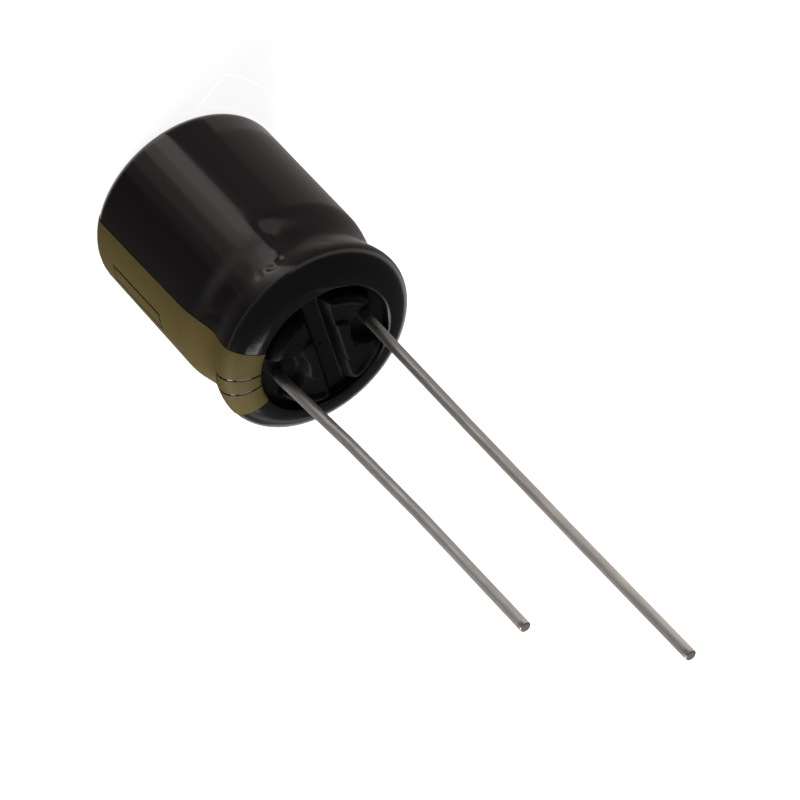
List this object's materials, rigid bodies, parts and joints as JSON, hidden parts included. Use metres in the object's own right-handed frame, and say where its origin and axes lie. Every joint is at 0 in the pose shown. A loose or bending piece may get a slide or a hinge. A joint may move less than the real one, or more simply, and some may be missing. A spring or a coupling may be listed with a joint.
{
  "type": "electrolytic capacitor",
  "caption": "Radial aluminium electrolytic capacitor: sleeved can with a beaded, curled end, rubber bung, wound element and parallel wire leads of unequal length",
  "frame": {"origin": "middle of the vented end, on the floor that the capacitor stands on", "axes": "+Z from the vented end to the leads, +X from the negative lead to the positive lead"},
  "size_m": [0.0102, 0.0102, 0.038],
  "materials": {
    "sleeve": "semi-gloss heat-shrink film",
    "stripe_ink": "printed ink, satin",
    "can": "drawn, satin",
    "bung": "moulded rubber, satin",
    "lead": "tinned wire, satin",
    "tab": "cold-pressed wire, satin",
    "anode_foil": "etched and formed, matt grey",
    "cathode_foil": "etched, matt",
    "separator_paper": "soaked tissue",
    "element_tape": "film tape"
  },
  "bodies": {
    "root": {"sleeve": "sleeve", "polarity_stripe": "stripe_ink", "can": "can", "rubber_bung": "bung", "lead_positive": "lead", "lead_negative": "lead", "tab_positive": "tab", "tab_negative": "tab", "anode_foil": "anode_foil", "cathode_foil": "cathode_foil", "separator_inner": "separator_paper", "separator_outer": "separator_paper", "element_tape": "element_tape"}
  },
  "joints": []
}
